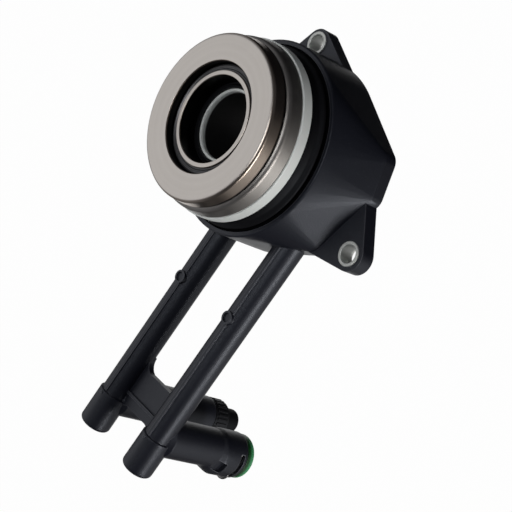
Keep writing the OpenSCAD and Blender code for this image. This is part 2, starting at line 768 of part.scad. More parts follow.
module bleed_screw() {
    nipple_low = bleed_collar_z - bleed_collar_len;
    color(black_plastic) translate([bleed_tube_x, -bleed_port_reach, 0]) difference() {
        union() {
            bar(bleed_shank_r, bleed_collar_z - eps, bleed_seat_z - rest_gap);
            translate([0, 0, bleed_seat_z - rest_gap])
                cylinder(r1 = bleed_shank_r, r2 = tube_bore_r, h = bleed_tip_len - 2 * rest_gap);
            bar(bleed_collar_r - bleed_rib_h, nipple_low, bleed_collar_z);
            for (i = [0:bleed_rib_count - 1]) rotate([0, 0, 360 * i / bleed_rib_count])
                translate([0, -bleed_rib_w / 2, nipple_low + 1])
                    cube([bleed_collar_r, bleed_rib_w, bleed_collar_len - 2]);
            bar(bleed_nipple_r, nipple_low - bleed_cap_len + 2 * bleed_cap_top, nipple_low + eps);
        }
        bar(bleed_bore_r, nipple_low - bleed_cap_len, bleed_seat_z - bleed_bore_end);
    }
}

module bleed_seal() {
    color(black_rubber) translate([bleed_tube_x, -bleed_port_reach, 0])
        cord_ring(bleed_thread_r + ring_gap + bleed_seal_cord / 2, bleed_seal_cord,
                  bleed_seal_pocket_h / 2 - bleed_port_len);
}

module bleed_cap() {
    high = bleed_collar_z - bleed_collar_len;
    low = high - bleed_cap_len;
    color(black_rubber) translate([bleed_tube_x, -bleed_port_reach, 0]) rotate_extrude($fn = 64) polygon(concat(
        [[0, low]],
        arc([bleed_cap_r - bleed_cap_edge_r, low + bleed_cap_edge_r], bleed_cap_edge_r, -90, 0),
        [[bleed_cap_r, high], [bleed_nipple_r, high],
         [bleed_nipple_r, low + bleed_cap_top], [0, low + bleed_cap_top]]));
}

// Pieces that slide with the piston

module piston() {
    groove_in = piston_bore_r + 1.8;
    groove_out = piston_r - 1.8;
    groove_z = piston_z + piston_groove_depth;
    color(black_plastic) difference() {
        union() {
            ring(piston_bore_r, piston_r, piston_z, piston_top_z);
            ring(piston_bore_r, nose_r, piston_top_z - eps, wiper_z);
        }
        ring(groove_in, groove_out, piston_z - over, groove_z);
    }
}

module piston_seal() {
    lip = 0.9;
    middle = (piston_bore_r + piston_r) / 2;
    color(black_rubber) rotate_extrude($fn = 96) polygon([
        [piston_bore_r, piston_seal_z], [piston_bore_r + lip, piston_seal_z],
        [middle, piston_seal_z + piston_seal_h / 2],
        [piston_r - lip, piston_seal_z], [piston_r, piston_seal_z],
        [piston_r, piston_z], [piston_bore_r, piston_z]]);
}

module wiper_seal() {
    lip = 0.8;
    color(black_rubber) rotate_extrude($fn = 96) polygon([
        [piston_bore_r, wiper_z], [nose_r, wiper_z], [nose_r, wiper_top_z - lip],
        [nose_r - lip, wiper_top_z - lip],
        [piston_bore_r + lip, wiper_top_z], [piston_bore_r, wiper_top_z]]);
}

module centring_spring() {
    inner = race_tube_bore_d / 2 + 0.2;
    outer = piston_r - 0.4;
    color(grey_steel) rotate_extrude($fn = 96) polygon([
        [outer, piston_top_z], [outer, piston_top_z + centring_sheet],
        [inner, cover_z], [inner, cover_z - centring_sheet]]);
}

module bearing_cover() {
    shoulder_z = cover_top_z - cover_shoulder_r;
    shoulder = [cover_wall_r - cover_shoulder_r, shoulder_z];
    floor_in = race_tube_bore_d / 2;
    color(grey_steel) rotate_extrude($fn = 128) polygon(concat(
        [[floor_in, cover_z], [cover_foot_r, cover_z]],
        arc(shoulder, cover_shoulder_r, 0, 90),
        [[cover_lip_r, cover_top_z], [cover_lip_r, cover_top_z - cover_sheet]],
        arc(shoulder, cover_shoulder_r - cover_sheet, 90, 0),
        [[cover_foot_r - cover_sheet, race_z], [floor_in, race_z]]));
}

module spring_seat() {
    edge = 0.4;
    band_in = seat_r - seat_sheet;
    color(zinc) rotate_extrude($fn = 128) polygon(concat(
        [[seat_bore_r, cover_z - seat_sheet], [band_in, cover_z - seat_sheet], [band_in, seat_low_z]],
        arc([seat_r - edge, seat_low_z + edge], edge, -90, 0, 3),
        arc([seat_r - edge, cover_z - edge], edge, 0, 90, 3),
        [[seat_bore_r, cover_z]]));
}

module race_ring() {
    color(bright_steel) difference() {
        union() {
            ring(race_tube_bore_d / 2, race_tube_r, race_z, race_tube_top_z);
            ring(race_tube_bore_d / 2, race_out_r, race_z, race_land_z);
        }
        cord_ring(pitch_r, 2 * groove_r, ball_z);
    }
}

module bearing_inner_seal() {
    color(black_rubber) ring(race_tube_r, face_hole_r - rest_gap, inner_seal_z, inner_seal_z + inner_seal_h);
}

// Rotating ring and ball set

module thrust_ring() {
    edge = [thrust_r - skirt_lean - face_edge_r, face_z - face_edge_r];
    color(bright_steel) difference() {
        rotate_extrude($fn = 128) polygon(concat(
            [[face_hole_r, thrust_land_z], [skirt_in_r, thrust_land_z],
             [skirt_in_r, skirt_z], [thrust_r, skirt_z]],
            arc(edge, face_edge_r, 0, 90),
            [[face_hole_r, face_z]]));
        cord_ring(pitch_r, 2 * groove_r, ball_z);
    }
}

module ball_cage() {
    color(black_plastic) difference() {
        ring(cage_in_r, cage_out_r, ball_z - cage_h / 2, ball_z + cage_h / 2);
        for (i = [0:ball_count - 1]) rotate([0, 0, 360 * i / ball_count])
            translate([pitch_r, 0, 0]) bar(ball_pocket_r, ball_z - cage_h, ball_z + cage_h);
    }
}

module bearing_balls() {
    color(bright_steel) for (i = [0:ball_count - 1])
        rotate([0, 0, 360 * i / ball_count]) translate([pitch_r, 0, ball_z]) sphere(r = ball_r, $fn = 32);
}

// Spring and boot, which shorten as the piston moves back

function coil_ring(step, steps, height) =
    let (turn = 360 * spring_turns * step / steps,
         rise = spring_low_z + spring_wire_d / 2 + height * step / steps)
    [for (side = [0:spring_sides - 1])
        let (a = 360 * side / spring_sides, r = spring_r + spring_wire_d / 2 * cos(a))
        [r * cos(turn), r * sin(turn), rise + spring_wire_d / 2 * sin(a)]];

module preload_spring() {
    steps = spring_steps * spring_turns;
    height = spring_high_z - spring_low_z - spring_wire_d;
    n = spring_sides;
    points = [for (step = [0:steps]) each coil_ring(step, steps, height)];
    walls = [for (step = [0:steps - 1], side = [0:n - 1])
        let (a = step * n + side, b = step * n + (side + 1) % n)
        each [[a, a + n, b], [b, a + n, b + n]]];
    first = [for (side = [0:n - 1]) side];
    last = [for (side = [n - 1:-1:0]) steps * n + side];
    color(grey_steel) polyhedron(points, concat(walls, [first, last]));
}

// Folds of the boot: its outside swings between the valley and the fold radius
function boot_fold_r_at(share) =
    boot_valley_r + (boot_fold_r - boot_valley_r) * (1 - cos(360 * boot_folds * share)) / 2;

module boot_profile() {
    steps = boot_fold_points * boot_folds;
    high = spring_high_z;
    outside = [for (i = [0:steps])
        [boot_fold_r_at(i / steps), boot_fold_low_z + (boot_fold_high_z - boot_fold_low_z) * i / steps]];
    neck_z = boot_fold_high_z + boot_neck_h;
    inside = [for (i = [steps:-1:0]) outside[i] - [boot_wall, 0]];
    polygon(concat(
        [[shelf_r + rest_gap, boot_shelf_z], [recess_r - rest_gap, boot_shelf_z],
         [recess_r - rest_gap, boot_fold_low_z]],
        outside,
        [[boot_seat_r, neck_z], [boot_seat_r, high],
         [boot_seat_r - boot_wall, high], [boot_seat_r - boot_wall, neck_z]],
        inside));
}

module dust_boot() {
    color(black_rubber) rotate_extrude($fn = 128) boot_profile();
}

housing();
guide_sleeve();
sleeve_o_ring();
input_shaft_seal();
shaft_seal_spring();
mounting_o_ring();
upper_ear_bush();
lower_ear_bush();
feed_tube_plug();
bleed_tube_plug();
feed_line_seal();
feed_line_clip();
feed_port_plug();
bleed_screw();
bleed_seal();
bleed_cap();
piston();
piston_seal();
wiper_seal();
centring_spring();
bearing_cover();
spring_seat();
race_ring();
bearing_inner_seal();
thrust_ring();
ball_cage();
bearing_balls();
preload_spring();
dust_boot();
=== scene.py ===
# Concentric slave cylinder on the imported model: surfaces, finishes, studio and camera.
import json

import bmesh
import bpy
import numpy as np
from mathutils import Matrix


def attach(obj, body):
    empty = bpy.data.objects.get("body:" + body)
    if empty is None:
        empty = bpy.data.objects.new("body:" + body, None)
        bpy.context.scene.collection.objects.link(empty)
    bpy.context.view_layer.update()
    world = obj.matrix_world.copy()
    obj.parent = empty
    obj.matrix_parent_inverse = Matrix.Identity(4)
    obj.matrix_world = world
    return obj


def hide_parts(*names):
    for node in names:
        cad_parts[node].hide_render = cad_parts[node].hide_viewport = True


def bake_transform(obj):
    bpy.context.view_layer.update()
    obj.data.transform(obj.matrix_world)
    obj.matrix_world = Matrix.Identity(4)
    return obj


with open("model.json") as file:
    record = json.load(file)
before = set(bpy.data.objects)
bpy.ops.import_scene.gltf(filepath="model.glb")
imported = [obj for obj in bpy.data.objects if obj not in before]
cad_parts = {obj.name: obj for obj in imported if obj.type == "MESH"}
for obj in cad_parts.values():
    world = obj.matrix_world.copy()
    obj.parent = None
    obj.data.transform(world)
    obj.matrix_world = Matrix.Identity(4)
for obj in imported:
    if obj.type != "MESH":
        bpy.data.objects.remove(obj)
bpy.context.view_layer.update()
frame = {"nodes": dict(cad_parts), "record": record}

MM = 0.001

# Camera of the photograph: its place, its three axes and its focal length on a 36 mm wide frame
CAMERA_PLACE = (0.3616, 0.0977, 0.3684)
CAMERA_RIGHT = (0.4953, 0.5517, -0.6711)
CAMERA_UP = (-0.5574, 0.7943, 0.2416)
CAMERA_BACK = (0.6663, 0.2544, 0.7009)
CAMERA_LENS = 105.47
CAMERA_NEAR = 0.01

# Studio in metres: what the lamps face, the floor, and the round stretch of it that lies behind the part
PART_MIDDLE = (0.01, -0.04, 0.0)
FLOOR_Z = -1.0
FLOOR_HALF = 4.0
SEEN_FLOOR = (-1.05, -0.43, FLOOR_Z)
SEEN_FLOOR_R = 0.80
SEEN_FLOOR_END = 0.90
WALL_SIDE = (-0.93, -0.36, 0.0)

# Brightness of the background, light of warm lamps, and the bluish sheen of black plastic and rubber
WHITE = 0.985
WARM = (1.0, 0.98, 0.95)
BLUE_SHEEN = (0.84, 0.89, 1.0, 1.0)

# Rays per shading point for softened edges and for the edge mask
BEVEL_SAMPLES = 6
EDGE_SAMPLES = 8

# Points nearer than this are one point, in metres and as a number of decimals
WELD = 1e-7
WELD_DECIMALS = 7

# Straight stretch kept flat beside a rounding, as a share of it
FLAT_SHARE = 0.15

# Steps round a small turned piece
SMALL_SPOKES = 96

# Angle in degrees over which an edge of the moulding stays sharp
HOUSING_CREASE = 28.0

# Release bearing in millimetres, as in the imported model
BALL_CIRCLE_R = 23.4
BALL_Z = 39.6
GROOVE_R = 3.05
FACE_Z = 45.0
FACE_HOLE_R = 19.5
THRUST_LAND_Z = 41.3
THRUST_LIP_R = 27.6
THRUST_BACK_R = 29.7
THRUST_BACK_Z = 39.8
THRUST_FRONT_R = 29.2
RACE_LAND_Z = 37.9
RACE_BORE_R = 15.2
RACE_R = 26.63
RACE_TUBE_R = 16.9
RACE_TUBE_Z = 42.8
COVER_BACK_Z = 33.2
COVER_FLOOR_Z = 34.2
COVER_CEILING_Z = 38.3
COVER_FRONT_Z = 39.3
COVER_LIP_R = 27.8
SEAT_BORE_R = 24.2
SEAT_WALL_R = 30.8
SEAT_R = 31.8
SEAT_LOW_Z = 29.0
SEAT_UNDERSIDE_Z = 32.2
SEAL_BACK_Z = 41.0
SEAL_R = 19.2
SEAL_LIP_Z = 42.2

# Guide sleeve and ear bushes in millimetres
SLEEVE_BORE_R = 11.8
SLEEVE_R = 12.8
SLEEVE_END_Z = 35.6
FLANGE_R = 16.95
FLANGE_LOW_Z = 6.0
FLANGE_HIGH_Z = 7.2
BUSH_BORE_R = 3.1
BUSH_R = 4.3
BUSH_TOP_Z = 6.1
UPPER_BOLT = (-17.3956, 35.3524)
LOWER_BOLT = (50.5229, -9.4552)

# Boot and preload spring in millimetres
BOOT_FOOT_Z = 16.0
BOOT_FOOT_R = 33.0
BOOT_FOLDS_LOW_Z = 17.5
BOOT_FOLDS_HIGH_Z = 25.6
BOOT_VALLEY_R = 31.2
BOOT_CREST_R = 32.6
BOOT_FOLDS = 2
BOOT_WALL = 1.1
BOOT_NECK_Z = 27.0
BOOT_NECK_R = 30.5
BOOT_TOP_Z = 32.15
FOLD_STEPS = 61
SPRING_LOW_Z = 9.05
SPRING_COIL_R = 27.5
SPRING_WIRE_R = 1.5
SPRING_TURNS = 4.0

# Plug of the feed port and cap of the bleed screw in millimetres
FEED_PORT = (27.5, -107.2)
PLUG_END_Z = -37.4
PLUG_HEAD_R = 8.3
PLUG_SEAT_Z = -33.5
PLUG_R = 5.8
PLUG_GROOVE_R = 5.0
PLUG_GROOVE_LOW_Z = -31.7
PLUG_GROOVE_HIGH_Z = -29.7
PLUG_TIP_Z = -25.6
PLUG_TIP_R = 4.8
PLUG_TIP_LEN = 1.0
BLEED_PORT = (-2.6, -111.0)
CAP_END_Z = -57.3
CAP_R = 4.9
CAP_MOUTH_Z = -48.8
CAP_BORE_R = 3.4
CAP_FLOOR_Z = -55.7


# Surfaces

def added(name, data):
    """A new object of some data, in the scene."""
    made = bpy.data.objects.new(name, data)
    bpy.context.scene.collection.objects.link(made)
    return made


def surface(name, grid, around=True, along=True):
    """A mesh through a grid of points, closed on itself around and along where that is asked."""
    rows, columns = grid.shape[:2]
    i = np.arange(rows if around else rows - 1)[:, None]
    j = np.arange(columns if along else columns - 1)[None, :]
    here = i * columns
    there = (i + 1) % rows * columns
    next_j = (j + 1) % columns
    quads = np.stack([here + j, there + j, there + next_j, here + next_j], -1)
    mesh = bpy.data.meshes.new(name)
    mesh.from_pydata(grid.reshape(-1, 3).tolist(), [], quads.reshape(-1, 4).tolist())
    shell = bmesh.new()
    shell.from_mesh(mesh)
    bmesh.ops.remove_doubles(shell, verts=shell.verts, dist=WELD)
    bmesh.ops.recalc_face_normals(shell, faces=shell.faces)
    shell.to_mesh(mesh)
    shell.free()
    mesh.shade_smooth()
    return added(name, mesh)


def unit(vector):
    return vector / np.linalg.norm(vector)


def rounded(corners, steps=8):
    """A closed outline with rounded corners, from rows of (radius, height, rounding).

    With unit vectors a and b from a corner to its neighbours and h half the angle between them, the arc
    runs from rounding / tan(h) along a to as far along b. Its centre lies rounding / sin(h) from the
    corner along a + b. A point just outside each end of the arc keeps the straight stretches flat.
    """
    corners = np.array(corners, float)
    places = corners[:, :2]
    outline = []
    for k, (place, rounding) in enumerate(zip(places, corners[:, 2])):
        if rounding == 0.0:
            outline.append(place[None])
            continue
        a = unit(places[k - 1] - place)
        b = unit(places[(k + 1) % len(places)] - place)
        half = np.arccos(np.clip(a @ b, -1.0, 1.0)) / 2
        reach = rounding / np.tan(half)
        centre = place + unit(a + b) * rounding / np.sin(half)
        first = place + a * reach - centre
        last = place + b * reach - centre
        turn = np.arctan2(first[0] * last[1] - first[1] * last[0], first @ last)
        angles = np.arctan2(first[1], first[0]) + turn * np.linspace(0.0, 1.0, steps)
        hold = FLAT_SHARE * rounding
        outline.append((place + a * (reach + hold))[None])
        outline.append(centre + rounding * np.stack([np.cos(angles), np.sin(angles)], -1))
        outline.append((place + b * (reach + hold))[None])
    return np.concatenate(outline)


def arc(centre, radius, start, end, steps=24):
    """Points on a circle between two angles in degrees, as rows of (radius, height, 0)."""
    angles = np.radians(np.linspace(start, end, steps))
    points = np.array(centre) + radius * np.stack([np.cos(angles), np.sin(angles)], -1)
    return [(r, z, 0.0) for r, z in points]


def turned(name, corners, axis=(0.0, 0.0), spokes=192):
    """Surface of revolution of a rounded outline about a line along Z.

    At angle u and place v of the outline the point is (x + r(v) cos u, y + r(v) sin u, z(v)).
    """
    outline = rounded(corners)
    u = np.linspace(0.0, 2 * np.pi, spokes, endpoint=False)[:, None]
    r, z = outline.T[:, None, :]
    grid = np.stack([axis[0] + r * np.cos(u), axis[1] + r * np.sin(u), z + 0.0 * u], -1) * MM
    return surface(name, grid, along=outline[0, 0] > 0.0)


def coil(name, radius, wire, low, high, turns, spokes=64, sides=20):
    """Round wire wound on a cylinder, its ends ground flat.

    At turn t and angle u round the wire the point lies radius + wire cos u from the axis at height
    middle(t) + wire sin u. The middle stays level for half a turn at each end and climbs evenly between.
    """
    t = np.linspace(0.0, turns, int(spokes * turns) + 1)
    share = np.clip((t - 0.5) / (turns - 1.0), 0.0, 1.0)
    middle = low + wire + (high - low - 2 * wire) * share
    u = np.linspace(0.0, 2 * np.pi, sides, endpoint=False)
    size = np.concatenate([[0.0], np.full(len(t), wire), [0.0]])[:, None]
    angle = 2 * np.pi * np.concatenate([t[:1], t, t[-1:]])[:, None]
    height = np.concatenate([middle[:1], middle, middle[-1:]])[:, None]
    r = radius + size * np.cos(u)
    grid = np.stack([r * np.cos(angle), r * np.sin(angle), height + size * np.sin(u)], -1) * MM
    return surface(name, grid, around=False)


def smooth_copy(name, node, crease):
    """The node's own surface in one skin, smooth across angles under crease degrees and sharp over it."""
    source = frame["nodes"][node].data
    points = np.empty(len(source.vertices) * 3)
    source.vertices.foreach_get("co", points)
    loops = np.empty(len(source.loops), int)
    source.loops.foreach_get("vertex_index", loops)
    points = np.round(points.reshape(-1, 3), WELD_DECIMALS)
    merged, place = np.unique(points, axis=0, return_inverse=True)
    faces = place.reshape(-1)[loops].reshape(-1, 3)
    a, b, c = faces.T
    faces = faces[(a != b) & (b != c) & (c != a)]
    mesh = bpy.data.meshes.new(name)
    mesh.from_pydata(merged.tolist(), [], faces.tolist())
    mesh.shade_smooth()
    mesh.set_sharp_from_angle(angle=np.radians(crease))
    piece = added(name, mesh)
    weigh = piece.modifiers.new("even_shading", "WEIGHTED_NORMAL")
    weigh.keep_sharp = True
    return piece


def square(name, half, height=0.0):
    """A mesh of one square face at a height."""
    mesh = bpy.data.meshes.new(name)
    corners = [(x * half, y * half, height) for x, y in ((-1, -1), (1, -1), (1, 1), (-1, 1))]
    mesh.from_pydata(corners, [], [(0, 1, 2, 3)])
    return mesh


# Finishes

class Wire:
    """A shader socket on which sums are written as Python; each operator adds one Math node."""

    def __init__(self, board, socket):
        self.board = board
        self.socket = socket

    def sum(self, operation, first, second):
        return self.board.node("ShaderNodeMath", {"operation": operation}, {0: first, 1: second})

    def __add__(self, other):
        return self.sum("ADD", self, other)

    def __sub__(self, other):
        return self.sum("SUBTRACT", self, other)

    def __mul__(self, other):
        return self.sum("MULTIPLY", self, other)

    def __pow__(self, other):
        return self.sum("POWER", self, other)

    def __rsub__(self, other):
        return self.sum("SUBTRACT", other, self)

    __radd__ = __add__
    __rmul__ = __mul__

    def between(self, low, high):
        """0 up to low, 1 from high on, smooth between."""
        return self.board.node("ShaderNodeMapRange", {"interpolation_type": "SMOOTHSTEP"},
                               {"Value": self, "From Min": low, "From Max": high})

    def above(self, low, high):
        """0 up to low, 1 from high on, smooth between, for a length and two limits in millimetres."""
        return self.between(low * MM, high * MM)

    def below(self, low, high):
        """1 up to low, 0 from high on, smooth between, for a length and two limits in millimetres."""
        return 1.0 - self.above(low, high)

    def other(self, output):
        """Another output of the same node."""
        return Wire(self.board, self.socket.node.outputs[output])


class Board:
    """A node tree. node() makes any node from its type, its settings and its sockets' values or wires."""

    def __init__(self, tree):
        self.tree = tree

    def set(self, socket, value):
        if isinstance(value, Wire):
            self.tree.links.new(value.socket, socket)
        else:
            socket.default_value = value

    def node(self, kind, settings=None, sockets=None, output=0):
        made = self.tree.nodes.new(kind)
        for key, value in (settings or {}).items():
            setattr(made, key, value)
        for key, value in (sockets or {}).items():
            self.set(made.inputs[key], value)
        return Wire(self, made.outputs[output])

    def place(self):
        return self.node("ShaderNodeTexCoord", output="Object")

    def axes(self, vector):
        x = self.node("ShaderNodeSeparateXYZ", sockets={0: vector})
        return x, x.other(1), x.other(2)

    def measure(self, operation, first, second):
        """A number from two vectors, such as DOT_PRODUCT or DISTANCE."""
        return self.node("ShaderNodeVectorMath", {"operation": operation}, {0: first, 1: second}, output=1)

    def noise(self, size, detail=2.0, rough=0.5, along=None):
        """Noise of a grain size in millimetres, in the piece's space or along one value."""
        settings = {}
        sockets = {"Scale": 1.0 / (size * MM), "Detail": detail, "Roughness": rough}
        if along is None:
            sockets["Vector"] = self.place()
        else:
            settings["noise_dimensions"] = "1D"
            sockets["W"] = along
        return self.node("ShaderNodeTexNoise", settings, sockets)

    def mix(self, share, first, second):
        """Colour that goes from first to second as share goes from 0 to 1."""
        first = first if isinstance(first, Wire) else (*first, 1.0)
        second = second if isinstance(second, Wire) else (*second, 1.0)
        return self.node("ShaderNodeMix", {"data_type": "RGBA"}, {0: share, 6: first, 7: second}, output=2)


class Finish(Board):
    """A material of one principled shader."""

    def __init__(self, name, **constants):
        self.material = bpy.data.materials.new(name)
        self.material.use_nodes = True
        super().__init__(self.material.node_tree)
        self.shader = self.tree.nodes["Principled BSDF"]
        self.give(**constants)

    def give(self, **values):
        for socket, value in values.items():
            self.set(self.shader.inputs[socket.replace("_", " ")], value)
        return self.material

    def from_axis(self):
        """Distance from the bearing axis, and height."""
        x, y, z = self.axes(self.place())
        return (x * x + y * y) ** 0.5, z

    def facing_up(self):
        """Z part of the surface's direction."""
        return self.axes(self.node("ShaderNodeNewGeometry", output="Normal"))[2]

    def edges(self, width):
        """1 on outer edges, 0 on open faces and in corners, by how much surface lies close inside.

        Close is within a width in millimetres.
        """
        settings = {"samples": EDGE_SAMPLES, "inside": True, "only_local": True}
        inside = self.node("ShaderNodeAmbientOcclusion", settings, {"Distance": width * MM}, output="AO")
        return (1.0 - inside).between(0.15, 0.6)

    def relief(self, height, depth, width=None):
        """Bump of a depth from a height field, on edges softened over a width if given, in millimetres."""
        sockets = {"Height": height, "Distance": depth * MM, "Strength": 1.0}
        if width is not None:
            settings = {"samples": BEVEL_SAMPLES}
            sockets["Normal"] = self.node("ShaderNodeBevel", settings, {"Radius": width * MM})
        return self.node("ShaderNodeBump", {}, sockets)


def moulded_nylon():
    """Black glass-filled nylon: spark-eroded grain, flow marks, painted highlights on the outer edges,
    matt flare on the port.
    """
    f = Finish("moulded_nylon", Specular_IOR_Level=0.65, Specular_Tint=BLUE_SHEEN)
    grain = f.noise(0.5, 3.0, 0.65)
    flow = f.noise(14, 3.0, 0.55)
    fibre = f.noise(0.8, 1.0).between(0.62, 0.74)
    # Mask of the outer edges, where a highlight is painted into the colour
    painted_edge_highlight = f.edges(0.5)
    x, _, z = f.axes(f.place())
    flare = x.above(12, 14) * z.above(-22.9, -22.4) * z.below(-21.2, -20.7)
    colour = f.mix(flow, (0.004, 0.0045, 0.009), (0.007, 0.008, 0.014))
    # Painted highlight: outer edges lightened toward pale grey; the fibre flecks are the nylon's own
    colour = f.mix(fibre * 0.04 + painted_edge_highlight * 0.7, colour, (0.14, 0.145, 0.165))
    rough = 0.36 + flow * 0.05 + grain * 0.08 + flare * 0.2
    normal = f.relief(grain + flow * 0.15, 0.035, 0.35)
    return f.give(Base_Color=colour, Roughness=rough, Normal=normal)


def ground_steel():
    """Hardened ring: face turned in fine circles, side polished; painted shade in the bore, the wall of
    the face's hole and the gap at the back.
    """
    f = Finish("ground_steel", Metallic=1.0)
    r, z = f.from_axis()
    face = f.facing_up().between(0.8, 0.98)
    circles = f.noise(0.14, 2.0, 0.7, along=r)
    broad = f.noise(1.5, 2.0, 0.5, along=r)
    bands = f.noise(0.3, 2.0, 0.6, along=z)
    cloud = f.noise(9, 3.0, 0.6)
    pale = f.mix(cloud * 0.5 + broad * 0.4, (0.62, 0.585, 0.55), (0.75, 0.715, 0.68))
    # Side painted darker and browner than the face: a warm tint, with painted shade standing in for the
    # dark reflections on the side
    side_tint_and_painted_shade = f.mix(cloud, (0.38, 0.32, 0.27), (0.45, 0.39, 0.34))
    colour = f.mix(face, side_tint_and_painted_shade, pale)
    # Painted shade: the thrust ring's back edge darkened where it meets the cover
    painted_gap_shade = r.above(27.4, 27.8) * z.below(40.0, 40.6)
    colour = f.mix(painted_gap_shade, colour, (0.03, 0.027, 0.025))
    # Painted shade: the race ring's bore and the wall of the thrust face's hole darkened nearly to black
    painted_bore_shade = r.below(15.3, 15.5) * z.below(42.2, 42.6)
    painted_hole_shade = r.above(19.1, 19.3) * r.below(19.55, 19.65) * z.below(44.3, 44.6)
    colour = f.mix(painted_bore_shade + painted_hole_shade, colour, (0.03, 0.028, 0.027))
    rough = 0.27 + face * 0.05 + cloud * 0.05 + circles * face * 0.06
    height = circles * face + bands * (1.0 - face) * 0.3
    return f.give(Base_Color=colour, Roughness=rough, Normal=f.relief(height, 0.004))


def drawn_steel():
    """Pressed sheet: drawing lines round the wall and a soft haze."""
    f = Finish("drawn_steel", Metallic=1.0)
    z = f.axes(f.place())[2]
    lines = f.noise(0.35, 2.0, 0.6, along=z)
    haze = f.noise(6, 3.0, 0.6)
    colour = f.mix(haze, (0.31, 0.295, 0.28), (0.40, 0.385, 0.37))
    rough = 0.36 + haze * 0.1 + lines * 0.06
    return f.give(Base_Color=colour, Roughness=rough, Normal=f.relief(lines + haze * 0.4, 0.004))


def zinc_plate():
    """Pale passivated zinc with a faint green and blue cast, and painted shade in the sleeve's bore."""
    f = Finish("zinc_plate", Metallic=0.2)
    r, z = f.from_axis()
    # Painted shade: the sleeve's bore darkened nearly to black
    painted_bore_shade = r.below(11.9, 12.1) * z.below(33.6, 34.4)
    cast = f.noise(7, 3.0, 0.6)
    spangle = f.noise(0.8, 2.0, 0.6)
    colour = f.mix(cast, (0.83, 0.88, 0.87), (0.91, 0.94, 0.92))
    colour = f.mix(painted_bore_shade, colour, (0.012, 0.012, 0.013))
    return f.give(Base_Color=colour, Roughness=0.5 + spangle * 0.14, Normal=f.relief(spangle, 0.006))


def dull_steel():
    """Plain turned steel with a dull oxide film."""
    f = Finish("dull_steel", Metallic=0.7)
    z = f.axes(f.place())[2]
    lines = f.noise(0.25, 2.0, 0.6, along=z)
    film = f.noise(2.2, 3.0, 0.6)
    colour = f.mix(film, (0.60, 0.62, 0.60), (0.78, 0.80, 0.78))
    normal = f.relief(lines + film * 0.5, 0.01)
    return f.give(Base_Color=colour, Roughness=0.42 + film * 0.16, Normal=normal)


def spring_wire():
    """Spring steel under an uneven film of oil."""
    f = Finish("spring_wire", Metallic=1.0)
    film = f.noise(1.8, 3.0, 0.6)
    colour = f.mix(film, (0.20, 0.20, 0.205), (0.36, 0.355, 0.35))
    return f.give(Base_Color=colour, Roughness=0.25 + film * 0.15, Normal=f.relief(film, 0.005))


def ball_steel():
    """Mirror-finished bearing balls with a thin grease film."""
    f = Finish("ball_steel", Metallic=1.0)
    film = f.noise(1.5, 2.0, 0.5)
    colour = f.mix(film, (0.62, 0.60, 0.56), (0.74, 0.73, 0.70))
    return f.give(Base_Color=colour, Roughness=0.06 + film * 0.1)


def moulded_rubber():
    """Black rubber: matt, with a little bloom; the bearing's seal shows a ring of its steel insert."""
    f = Finish("moulded_rubber", Specular_IOR_Level=0.25, Specular_Tint=BLUE_SHEEN)
    bloom = f.noise(4, 3.0, 0.6)
    pores = f.noise(0.35, 2.0, 0.6)
    r, z = f.from_axis()
    insert = r.above(16.9, 17.1) * r.below(18.8, 19.1) * z.above(41.4, 41.6)
    colour = f.mix(bloom, (0.0012, 0.0012, 0.0016), (0.0026, 0.0026, 0.0032))
    colour = f.mix(insert, colour, (0.15, 0.15, 0.155))
    rough = 0.5 + bloom * 0.16 - insert * 0.15
    normal = f.relief(pores, 0.02, 0.3)
    return f.give(Base_Color=colour, Roughness=rough, Metallic=insert * 0.9, Normal=normal)


def inner_plastic():
    """Dark moulded plastic of the screw, the cage and the piston."""
    f = Finish("inner_plastic", Specular_IOR_Level=0.45, Specular_Tint=BLUE_SHEEN)
    flow = f.noise(3, 3.0, 0.6)
    grain = f.noise(0.3, 2.0, 0.6)
    colour = f.mix(flow, (0.0045, 0.0045, 0.0055), (0.009, 0.009, 0.0105))
    return f.give(Base_Color=colour, Roughness=0.38 + flow * 0.12, Normal=f.relief(grain, 0.02, 0.3))


def green_plastic():
    """Green transit plug, waxy, its own green at the outer rim and darkened by painted shade to deep green
    where it meets the port.
    """
    f = Finish("green_plastic", Subsurface_Weight=0.15, Subsurface_Radius=(0.0008, 0.0014, 0.0005))
    flow = f.noise(5, 2.0, 0.5)
    grain = f.noise(0.4, 2.0, 0.6)
    z = f.axes(f.place())[2]
    colour = f.mix(flow, (0.06, 0.34, 0.14), (0.08, 0.42, 0.18))
    # Painted shade: the plug darkens to deep green toward the collar of the port
    colour = f.mix(z.above(-36.2, -34.2), colour, (0.001, 0.05, 0.006))
    return f.give(Base_Color=colour, Roughness=0.34 + flow * 0.1, Normal=f.relief(grain, 0.015))


FINISHES = {
    "moulding": moulded_nylon(),
    "bright_steel": ground_steel(),
    "pressed_steel": drawn_steel(),
    "zinc": zinc_plate(),
    "dull_steel": dull_steel(),
    "spring_steel": spring_wire(),
    "ball_steel": ball_steel(),
    "rubber": moulded_rubber(),
    "inner_plastic": inner_plastic(),
    "green_plastic": green_plastic(),
}

SLOTS = {part["node"]: part["material_slot"] for part in frame["record"]["subparts"]}
BODIES = {node: body for body, nodes in frame["record"]["behaviour"]["bodies"].items() for node in nodes}


def dress(piece, slot):
    piece.data.materials.clear()
    piece.data.materials.append(FINISHES[slot])


def stand_for(node, piece):
    """Lets a piece show in place of a solid, with its finish."""
    dress(piece, SLOTS[node])
    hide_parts(node)
    return piece


def fixed(node, piece):
    """A piece that rides on its solid's body."""
    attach(stand_for(node, piece), BODIES[node])


def stretched(node, piece):
    """A piece for a solid that spans the housing and the piston; its placement is baked into its points
    and it rides on no body.
    """
    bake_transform(stand_for(node, piece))


# Pieces, each outline as corners of (radius, height, rounding)

def groove(start, end):
    """Section of the ball groove between two angles."""
    return arc((BALL_CIRCLE_R, BALL_Z), GROOVE_R, start, end)


